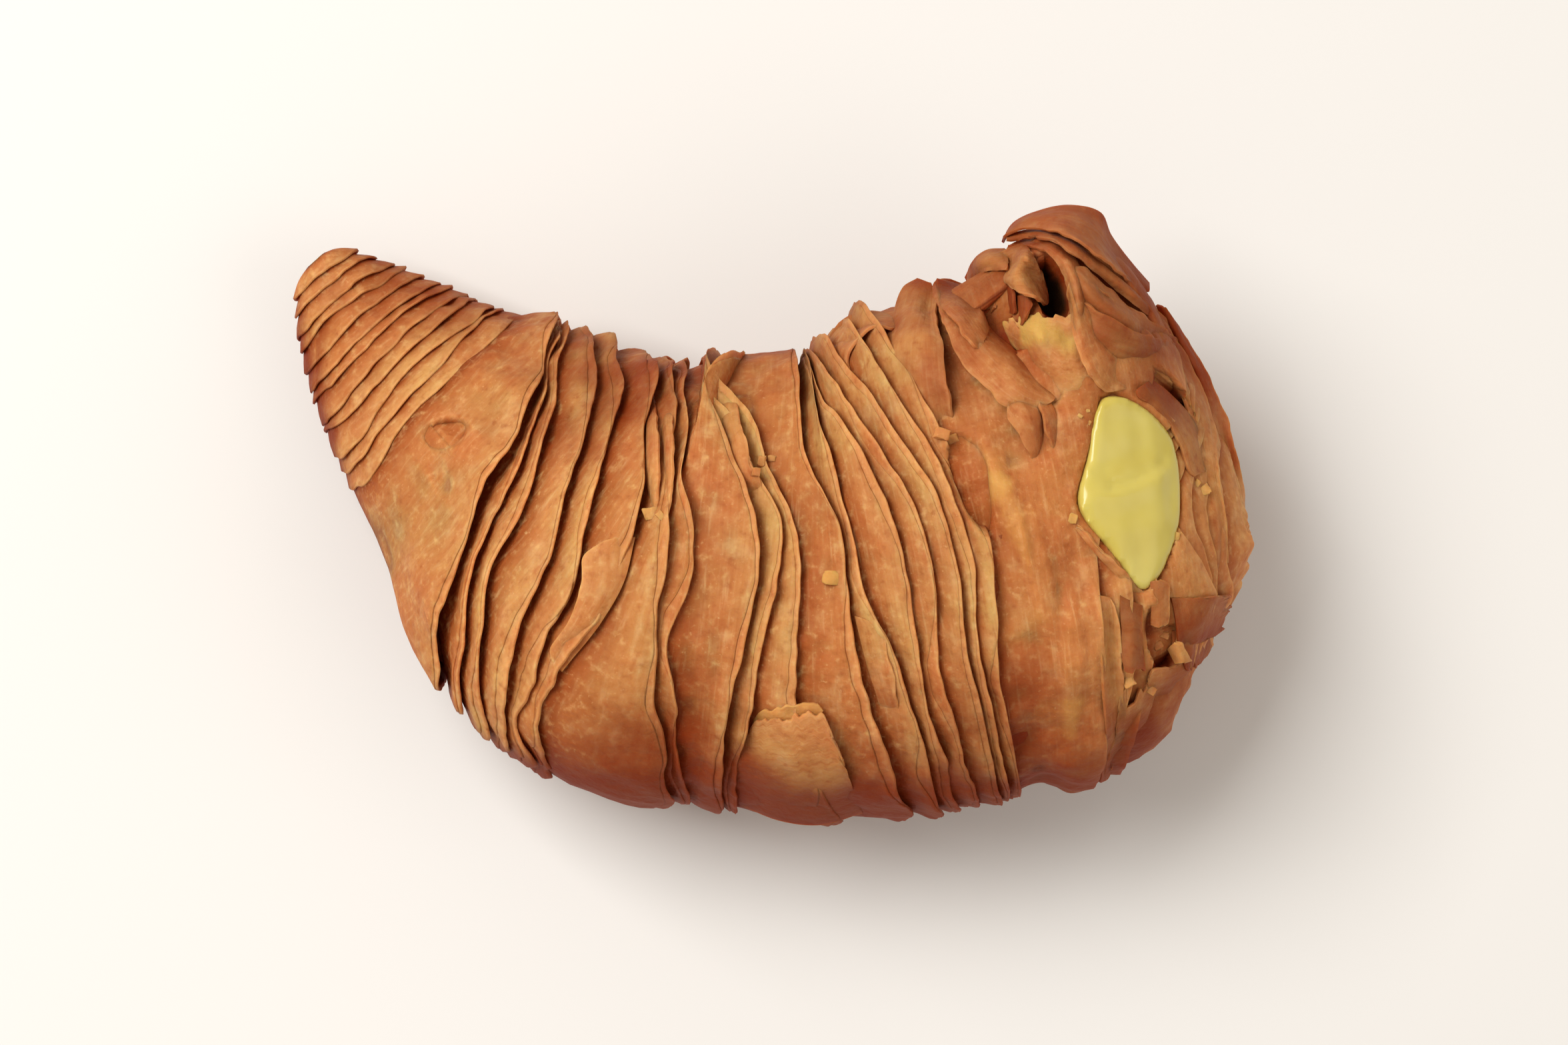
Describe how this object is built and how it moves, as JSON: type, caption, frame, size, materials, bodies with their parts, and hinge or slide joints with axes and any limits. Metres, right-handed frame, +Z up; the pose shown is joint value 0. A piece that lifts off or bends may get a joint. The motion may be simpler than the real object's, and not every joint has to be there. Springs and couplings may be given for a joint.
{
  "type": "lobster tail pastry",
  "caption": "Curved, tapering flaky pastry wrapped in thin overlapping dough leaves, with pistachio cream showing through a pointed mouth on top.",
  "frame": {"origin": "on the base plane, under the middle of the whole shape", "axes": "+X towards the fat end with the mouth, +Y towards the hollow side of the curve, +Z up"},
  "size_m": [0.0909, 0.057, 0.0391],
  "materials": {
    "dough": "baked flaky dough, matt with a faint fat sheen",
    "cream": "smooth moist cream"
  },
  "bodies": {
    "root": {"dough": "dough", "cream": "cream"}
  },
  "joints": []
}
